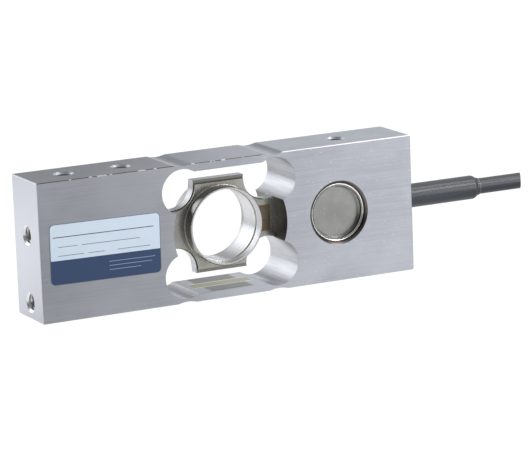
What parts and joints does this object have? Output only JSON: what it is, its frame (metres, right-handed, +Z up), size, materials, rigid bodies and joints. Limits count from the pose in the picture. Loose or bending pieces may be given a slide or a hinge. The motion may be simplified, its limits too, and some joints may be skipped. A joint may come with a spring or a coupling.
{
  "type": "single point load cell",
  "caption": "Stainless single point load cell: a block with parallel-guide links, a sealed measuring ring, tapped mounting holes and a short cable.",
  "frame": {"origin": "middle of the block's underside, the cable left out", "axes": "+X along the block towards the cable, +Y from the front face to the back, +Z up"},
  "size_m": [0.2034, 0.0231, 0.051],
  "materials": {
    "body_steel": "brushed along the block on the faces, milled in the openings",
    "sleeve_steel": "bright turned",
    "plate_steel": "satin, heat tinted beside the welds",
    "cap_steel": "satin dished face with a bright lip",
    "label_foil": "satin printed foil",
    "jacket": "dull extruded jacket",
    "sleeving": "dull shrink sleeving",
    "gauge_film": "amber film with a metal grid",
    "laminate": "green solder mask",
    "solder": "bright tin",
    "enamelled_wire": "enamelled copper",
    "resistor_enamel": "beige enamel",
    "pad_foam": "white silicone pad",
    "potting": "dark sealing compound",
    "seal_rubber": "black rubber",
    "ferrule_brass": "bright turned brass",
    "bare_copper": "bare stranded copper",
    "core_green": "thin wire insulation",
    "core_red": "thin wire insulation",
    "core_black": "thin wire insulation",
    "core_white": "thin wire insulation",
    "core_blue": "thin wire insulation",
    "core_yellow": "thin wire insulation"
  },
  "bodies": {
    "root": {"sensing_body": "body_steel", "front_seal_plate": "plate_steel", "rear_seal_plate": "plate_steel", "wire_slot_cover": "plate_steel", "junction_strip": "laminate", "gauge_sleeve": "sleeve_steel", "front_collar": "sleeve_steel", "rear_collar": "sleeve_steel", "cavity_cap": "cap_steel", "board_pad": "pad_foam", "compensation_board": "laminate", "board_pins": "solder", "zero_resistor": "resistor_enamel", "modulus_resistor": "resistor_enamel", "span_resistor": "resistor_enamel", "entry_potting": "potting", "entry_seal_ring": "seal_rubber", "entry_ferrule": "ferrule_brass", "cable": "jacket", "cable_sleeve": "sleeving", "label": "label_foil", "drain_wire": "bare_copper", "gauge_upper_right": "gauge_film", "terminal_upper_right": "solder", "bridge_wire_upper_right": "enamelled_wire", "gauge_upper_left": "gauge_film", "terminal_upper_left": "solder", "bridge_wire_upper_left": "enamelled_wire", "gauge_lower_left": "gauge_film", "terminal_lower_left": "solder", "bridge_wire_lower_left": "enamelled_wire", "gauge_lower_right": "gauge_film", "terminal_lower_right": "solder", "bridge_wire_lower_right": "enamelled_wire", "core_green": "core_green", "core_red": "core_red", "core_black": "core_black", "core_white": "core_white", "core_blue": "core_blue", "core_yellow": "core_yellow"}
  },
  "joints": []
}
